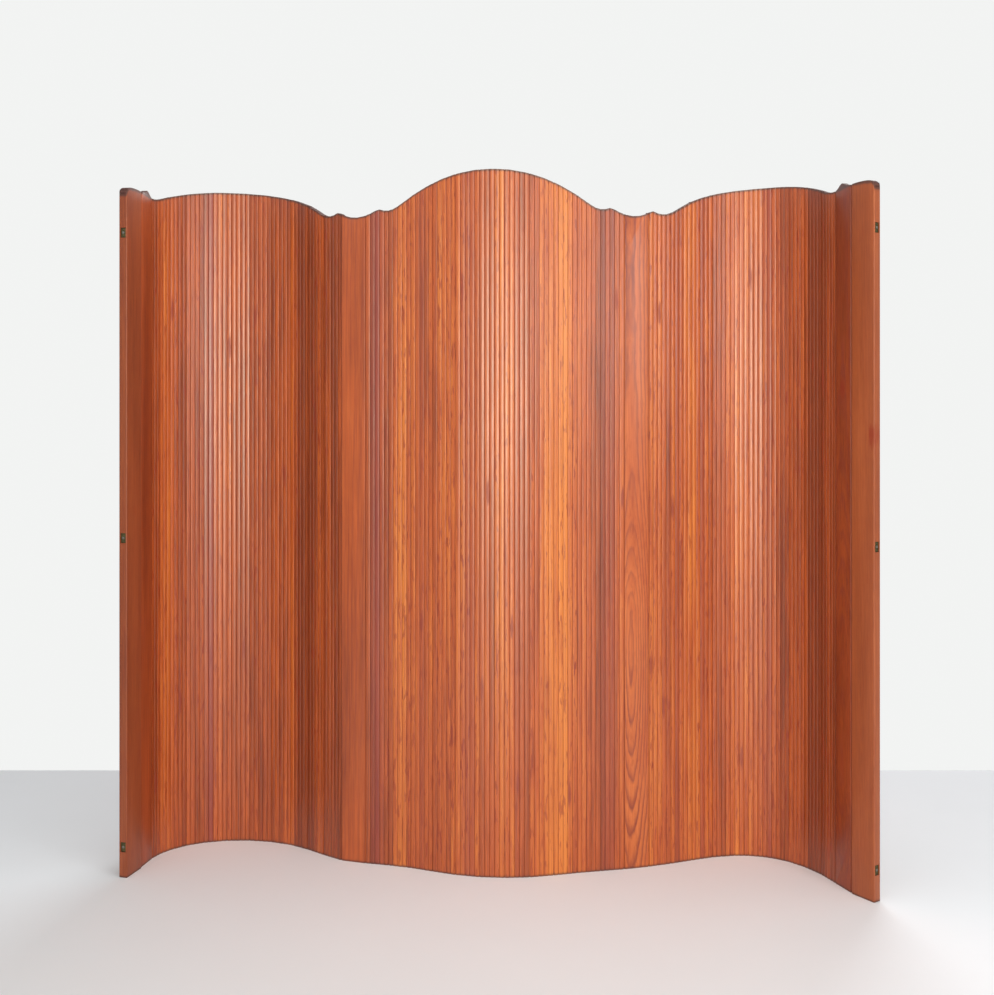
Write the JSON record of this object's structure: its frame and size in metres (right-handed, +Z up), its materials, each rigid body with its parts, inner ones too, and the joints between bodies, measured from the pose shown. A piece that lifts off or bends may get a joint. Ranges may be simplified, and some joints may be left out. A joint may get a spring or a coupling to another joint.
{
  "type": "rollable slat room divider",
  "caption": "Freestanding room screen of upright reeded wooden slats threaded on hidden cables, with flat boards, end posts and a sawn wavy top; it bends freely along its length and rolls up",
  "frame": {"origin": "on the floor, under the centre of the middle run of slats, at mid thickness", "axes": "+Z up, +X to the right along the middle run as one looks at the front, +Y towards the back"},
  "size_m": [1.845, 0.3027, 1.75],
  "materials": {
    "slat_orange": "old orange-brown varnish, semi-gloss",
    "slat_brown": "old orange-brown varnish, semi-gloss",
    "slat_gold": "old orange-brown varnish, semi-gloss",
    "slat_red": "old orange-brown varnish, semi-gloss",
    "board_wood": "old amber varnish, satin",
    "post_wood": "old amber varnish, satin",
    "cable_steel": "bare wire rope, dulled",
    "aged_brass": "tarnished green-brown"
  },
  "bodies": {
    "middle": {"middle_run": "slat_orange", "cable_bottom": "cable_steel", "cable_middle": "cable_steel", "cable_top": "cable_steel"},
    "middle_bay_run_right_1_body": {"middle_bay_run_right_1": "slat_brown"},
    "middle_bay_run_right_2_body": {"middle_bay_run_right_2": "slat_orange"},
    "middle_bay_run_right_3_body": {"middle_bay_run_right_3": "slat_red"},
    "middle_bay_run_right_4_body": {"middle_bay_run_right_4": "slat_gold"},
    "middle_bay_run_right_5_body": {"middle_bay_run_right_5": "slat_brown"},
    "bay_board_right_body": {"bay_board_right": "board_wood"},
    "side_bay_run_right_1_body": {"side_bay_run_right_1": "slat_brown"},
    "side_bay_run_right_2_body": {"side_bay_run_right_2": "slat_orange"},
    "side_bay_run_right_3_body": {"side_bay_run_right_3": "slat_red"},
    "side_bay_run_right_4_body": {"side_bay_run_right_4": "slat_gold"},
    "side_bay_run_right_5_body": {"side_bay_run_right_5": "slat_red"},
    "side_bay_run_right_6_body": {"side_bay_run_right_6": "slat_gold"},
    "side_bay_run_right_7_body": {"side_bay_run_right_7": "slat_brown"},
    "side_bay_run_right_8_body": {"side_bay_run_right_8": "slat_orange"},
    "side_bay_run_right_9_body": {"side_bay_run_right_9": "slat_orange"},
    "side_bay_run_right_10_body": {"side_bay_run_right_10": "slat_orange"},
    "side_bay_run_right_11_body": {"side_bay_run_right_11": "slat_red"},
    "end_board_right_body": {"end_board_right": "board_wood"},
    "end_post_right_body": {"end_post_right": "post_wood", "cable_plate_right_bottom": "aged_brass", "plate_screw_right_bottom_upper": "aged_brass", "plate_screw_right_bottom_lower": "aged_brass", "cable_plate_right_middle": "aged_brass", "plate_screw_right_middle_upper": "aged_brass", "plate_screw_right_middle_lower": "aged_brass", "cable_plate_right_top": "aged_brass", "plate_screw_right_top_upper": "aged_brass", "plate_screw_right_top_lower": "aged_brass"},
    "middle_bay_run_left_1_body": {"middle_bay_run_left_1": "slat_brown"},
    "middle_bay_run_left_2_body": {"middle_bay_run_left_2": "slat_orange"},
    "middle_bay_run_left_3_body": {"middle_bay_run_left_3": "slat_red"},
    "middle_bay_run_left_4_body": {"middle_bay_run_left_4": "slat_gold"},
    "middle_bay_run_left_5_body": {"middle_bay_run_left_5": "slat_brown"},
    "bay_board_left_body": {"bay_board_left": "board_wood"},
    "side_bay_run_left_1_body": {"side_bay_run_left_1": "slat_brown"},
    "side_bay_run_left_2_body": {"side_bay_run_left_2": "slat_orange"},
    "side_bay_run_left_3_body": {"side_bay_run_left_3": "slat_red"},
    "side_bay_run_left_4_body": {"side_bay_run_left_4": "slat_gold"},
    "side_bay_run_left_5_body": {"side_bay_run_left_5": "slat_brown"},
    "side_bay_run_left_6_body": {"side_bay_run_left_6": "slat_orange"},
    "side_bay_run_left_7_body": {"side_bay_run_left_7": "slat_red"},
    "side_bay_run_left_8_body": {"side_bay_run_left_8": "slat_brown"},
    "side_bay_run_left_9_body": {"side_bay_run_left_9": "slat_orange"},
    "side_bay_run_left_10_body": {"side_bay_run_left_10": "slat_gold"},
    "side_bay_run_left_11_body": {"side_bay_run_left_11": "slat_brown"},
    "end_board_left_body": {"end_board_left": "board_wood"},
    "end_post_left_body": {"end_post_left": "post_wood", "cable_plate_left_bottom": "aged_brass", "plate_screw_left_bottom_upper": "aged_brass", "plate_screw_left_bottom_lower": "aged_brass", "cable_plate_left_middle": "aged_brass", "plate_screw_left_middle_upper": "aged_brass", "plate_screw_left_middle_lower": "aged_brass", "cable_plate_left_top": "aged_brass", "plate_screw_left_top_upper": "aged_brass", "plate_screw_left_top_lower": "aged_brass"}
  },
  "joints": [
    {"name": "hinge_right_1", "type": "hinge", "parent": "middle", "child": "middle_bay_run_right_1_body", "pos_m": [0.0305, 0, 0], "axis": [0, 0, 1], "range_deg": [-29.04, 11.96], "deforming": ["cable_bottom", "cable_middle", "cable_top"]},
    {"name": "hinge_right_2", "type": "hinge", "parent": "middle_bay_run_right_1_body", "child": "middle_bay_run_right_2_body", "pos_m": [0.09082, 0.00906, 0], "axis": [0, 0, 1], "range_deg": [-29.04, 11.96], "deforming": ["cable_bottom", "cable_middle", "cable_top"]},
    {"name": "hinge_right_3", "type": "hinge", "parent": "middle_bay_run_right_2_body", "child": "middle_bay_run_right_3_body", "pos_m": [0.14914, 0.02696, 0], "axis": [0, 0, 1], "range_deg": [-23.74, 18.26], "deforming": ["cable_bottom", "cable_middle", "cable_top"]},
    {"name": "hinge_right_4", "type": "hinge", "parent": "middle_bay_run_right_3_body", "child": "middle_bay_run_right_4_body", "pos_m": [0.20652, 0.04765, 0], "axis": [0, 0, 1], "range_deg": [-18.82, 23.18], "deforming": ["cable_bottom", "cable_middle", "cable_top"]},
    {"name": "hinge_right_5", "type": "hinge", "parent": "middle_bay_run_right_4_body", "child": "middle_bay_run_right_5_body", "pos_m": [0.26465, 0.06615, 0], "axis": [0, 0, 1], "range_deg": [-20.76, 22.24], "deforming": ["cable_bottom", "cable_middle", "cable_top"]},
    {"name": "hinge_right_6", "type": "hinge", "parent": "middle_bay_run_right_5_body", "child": "bay_board_right_body", "pos_m": [0.32302, 0.08386, 0], "axis": [0, 0, 1], "range_deg": [-26.31, 18.69], "deforming": ["cable_bottom", "cable_middle", "cable_top"]},
    {"name": "hinge_right_7", "type": "hinge", "parent": "bay_board_right_body", "child": "side_bay_run_right_1_body", "pos_m": [0.38477, 0.10718, 0], "axis": [0, 0, 1], "range_deg": [-26.81, 19.19], "deforming": ["cable_bottom", "cable_middle", "cable_top"]},
    {"name": "hinge_right_8", "type": "hinge", "parent": "side_bay_run_right_1_body", "child": "side_bay_run_right_2_body", "pos_m": [0.44028, 0.13247, 0], "axis": [0, 0, 1], "range_deg": [-25.1, 19.9], "deforming": ["cable_bottom", "cable_middle", "cable_top"]},
    {"name": "hinge_right_9", "type": "hinge", "parent": "side_bay_run_right_2_body", "child": "side_bay_run_right_3_body", "pos_m": [0.49458, 0.16026, 0], "axis": [0, 0, 1], "range_deg": [-21.86, 23.14], "deforming": ["cable_bottom", "cable_middle", "cable_top"]},
    {"name": "hinge_right_10", "type": "hinge", "parent": "side_bay_run_right_3_body", "child": "side_bay_run_right_4_body", "pos_m": [0.54914, 0.18754, 0], "axis": [0, 0, 1], "range_deg": [-12.02, 33.98], "deforming": ["cable_bottom", "cable_middle", "cable_top"]},
    {"name": "hinge_right_11", "type": "hinge", "parent": "side_bay_run_right_4_body", "child": "side_bay_run_right_5_body", "pos_m": [0.60789, 0.20393, 0], "axis": [0, 0, 1], "range_deg": [-6.5, 30.5], "deforming": ["cable_bottom", "cable_middle", "cable_top"]},
    {"name": "hinge_right_12", "type": "hinge", "parent": "side_bay_run_right_5_body", "child": "side_bay_run_right_6_body", "pos_m": [0.64442, 0.20625, 0], "axis": [0, 0, 1], "range_deg": [-2.47, 25.53], "deforming": ["cable_bottom", "cable_middle", "cable_top"]},
    {"name": "hinge_right_13", "type": "hinge", "parent": "side_bay_run_right_6_body", "child": "side_bay_run_right_7_body", "pos_m": [0.68067, 0.20122, 0], "axis": [0, 0, 1], "range_deg": [-2.47, 25.53], "deforming": ["cable_bottom", "cable_middle", "cable_top"]},
    {"name": "hinge_right_14", "type": "hinge", "parent": "side_bay_run_right_7_body", "child": "side_bay_run_right_8_body", "pos_m": [0.71518, 0.18902, 0], "axis": [0, 0, 1], "range_deg": [-2.47, 25.53], "deforming": ["cable_bottom", "cable_middle", "cable_top"]},
    {"name": "hinge_right_15", "type": "hinge", "parent": "side_bay_run_right_8_body", "child": "side_bay_run_right_9_body", "pos_m": [0.74654, 0.17016, 0], "axis": [0, 0, 1], "range_deg": [-4.44, 28.56], "deforming": ["cable_bottom", "cable_middle", "cable_top"]},
    {"name": "hinge_right_16", "type": "hinge", "parent": "side_bay_run_right_9_body", "child": "side_bay_run_right_10_body", "pos_m": [0.78216, 0.13679, 0], "axis": [0, 0, 1], "range_deg": [-11.48, 32.52], "deforming": ["cable_bottom", "cable_middle", "cable_top"]},
    {"name": "hinge_right_17", "type": "hinge", "parent": "side_bay_run_right_10_body", "child": "side_bay_run_right_11_body", "pos_m": [0.81827, 0.08763, 0], "axis": [0, 0, 1], "range_deg": [-14.69, 35.31], "deforming": ["cable_bottom", "cable_middle", "cable_top"]},
    {"name": "hinge_right_18", "type": "hinge", "parent": "side_bay_run_right_11_body", "child": "end_board_right_body", "pos_m": [0.84501, 0.0328, 0], "axis": [0, 0, 1], "range_deg": [-26.13, 25.87], "deforming": ["cable_bottom", "cable_middle", "cable_top"]},
    {"name": "hinge_right_19", "type": "hinge", "parent": "end_board_right_body", "child": "end_post_right_body", "pos_m": [0.87422, -0.02638, 0], "axis": [0, 0, 1], "range_deg": [-42.02, 15.98], "deforming": ["cable_bottom", "cable_middle", "cable_top"]},
    {"name": "hinge_left_1", "type": "hinge", "parent": "middle", "child": "middle_bay_run_left_1_body", "pos_m": [-0.0305, 0, 0], "axis": [0, 0, 1], "range_deg": [-11.46, 28.54], "deforming": ["cable_bottom", "cable_middle", "cable_top"]},
    {"name": "hinge_left_2", "type": "hinge", "parent": "middle_bay_run_left_1_body", "child": "middle_bay_run_left_2_body", "pos_m": [-0.09082, 0.00906, 0], "axis": [0, 0, 1], "range_deg": [-11.96, 29.04], "deforming": ["cable_bottom", "cable_middle", "cable_top"]},
    {"name": "hinge_left_3", "type": "hinge", "parent": "middle_bay_run_left_2_body", "child": "middle_bay_run_left_3_body", "pos_m": [-0.14914, 0.02696, 0], "axis": [0, 0, 1], "range_deg": [-19.63, 21.37], "deforming": ["cable_bottom", "cable_middle", "cable_top"]},
    {"name": "hinge_left_4", "type": "hinge", "parent": "middle_bay_run_left_3_body", "child": "middle_bay_run_left_4_body", "pos_m": [-0.20716, 0.04579, 0], "axis": [0, 0, 1], "range_deg": [-26.63, 15.37], "deforming": ["cable_bottom", "cable_middle", "cable_top"]},
    {"name": "hinge_left_5", "type": "hinge", "parent": "middle_bay_run_left_4_body", "child": "middle_bay_run_left_5_body", "pos_m": [-0.26675, 0.05885, 0], "axis": [0, 0, 1], "range_deg": [-25.18, 17.82], "deforming": ["cable_bottom", "cable_middle", "cable_top"]},
    {"name": "hinge_left_6", "type": "hinge", "parent": "middle_bay_run_left_5_body", "child": "bay_board_left_body", "pos_m": [-0.32705, 0.06802, 0], "axis": [0, 0, 1], "range_deg": [-17.59, 27.41], "deforming": ["cable_bottom", "cable_middle", "cable_top"]},
    {"name": "hinge_left_7", "type": "hinge", "parent": "bay_board_left_body", "child": "side_bay_run_left_1_body", "pos_m": [-0.39123, 0.08342, 0], "axis": [0, 0, 1], "range_deg": [-3.95, 42.05], "deforming": ["cable_bottom", "cable_middle", "cable_top"]},
    {"name": "hinge_left_8", "type": "hinge", "parent": "side_bay_run_left_1_body", "child": "side_bay_run_left_2_body", "pos_m": [-0.44269, 0.11618, 0], "axis": [0, 0, 1], "range_deg": [-18.94, 25.06], "deforming": ["cable_bottom", "cable_middle", "cable_top"]},
    {"name": "hinge_left_9", "type": "hinge", "parent": "side_bay_run_left_2_body", "child": "side_bay_run_left_3_body", "pos_m": [-0.49225, 0.15173, 0], "axis": [0, 0, 1], "range_deg": [-28.96, 16.04], "deforming": ["cable_bottom", "cable_middle", "cable_top"]},
    {"name": "hinge_left_10", "type": "hinge", "parent": "side_bay_run_left_3_body", "child": "side_bay_run_left_4_body", "pos_m": [-0.54542, 0.18164, 0], "axis": [0, 0, 1], "range_deg": [-35.2, 10.8], "deforming": ["cable_bottom", "cable_middle", "cable_top"]},
    {"name": "hinge_left_11", "type": "hinge", "parent": "side_bay_run_left_4_body", "child": "side_bay_run_left_5_body", "pos_m": [-0.60371, 0.1996, 0], "axis": [0, 0, 1], "range_deg": [-34.87, 11.13], "deforming": ["cable_bottom", "cable_middle", "cable_top"]},
    {"name": "hinge_left_12", "type": "hinge", "parent": "side_bay_run_left_5_body", "child": "side_bay_run_left_6_body", "pos_m": [-0.66446, 0.20514, 0], "axis": [0, 0, 1], "range_deg": [-35.15, 11.85], "deforming": ["cable_bottom", "cable_middle", "cable_top"]},
    {"name": "hinge_left_13", "type": "hinge", "parent": "side_bay_run_left_6_body", "child": "side_bay_run_left_7_body", "pos_m": [-0.72508, 0.19828, 0], "axis": [0, 0, 1], "range_deg": [-37.15, 10.85], "deforming": ["cable_bottom", "cable_middle", "cable_top"]},
    {"name": "hinge_left_14", "type": "hinge", "parent": "side_bay_run_left_7_body", "child": "side_bay_run_left_8_body", "pos_m": [-0.78255, 0.17785, 0], "axis": [0, 0, 1], "range_deg": [-34.78, 8.23], "deforming": ["cable_bottom", "cable_middle", "cable_top"]},
    {"name": "hinge_left_15", "type": "hinge", "parent": "side_bay_run_left_8_body", "child": "side_bay_run_left_9_body", "pos_m": [-0.82359, 0.15145, 0], "axis": [0, 0, 1], "range_deg": [-34.41, 4.59], "deforming": ["cable_bottom", "cable_middle", "cable_top"]},
    {"name": "hinge_left_16", "type": "hinge", "parent": "side_bay_run_left_9_body", "child": "side_bay_run_left_10_body", "pos_m": [-0.85649, 0.1154, 0], "axis": [0, 0, 1], "range_deg": [-30.05, 3.95], "deforming": ["cable_bottom", "cable_middle", "cable_top"]},
    {"name": "hinge_left_17", "type": "hinge", "parent": "side_bay_run_left_10_body", "child": "side_bay_run_left_11_body", "pos_m": [-0.87444, 0.08351, 0], "axis": [0, 0, 1], "range_deg": [-26.18, 3.82], "deforming": ["cable_bottom", "cable_middle", "cable_top"]},
    {"name": "hinge_left_18", "type": "hinge", "parent": "side_bay_run_left_11_body", "child": "end_board_left_body", "pos_m": [-0.88589, 0.04874, 0], "axis": [0, 0, 1], "range_deg": [-32.18, 9.82], "deforming": ["cable_bottom", "cable_middle", "cable_top"]},
    {"name": "hinge_left_19", "type": "hinge", "parent": "end_board_left_body", "child": "end_post_left_body", "pos_m": [-0.89355, -0.01681, 0], "axis": [0, 0, 1], "range_deg": [-24.87, 33.13], "deforming": ["cable_bottom", "cable_middle", "cable_top"]}
  ]
}
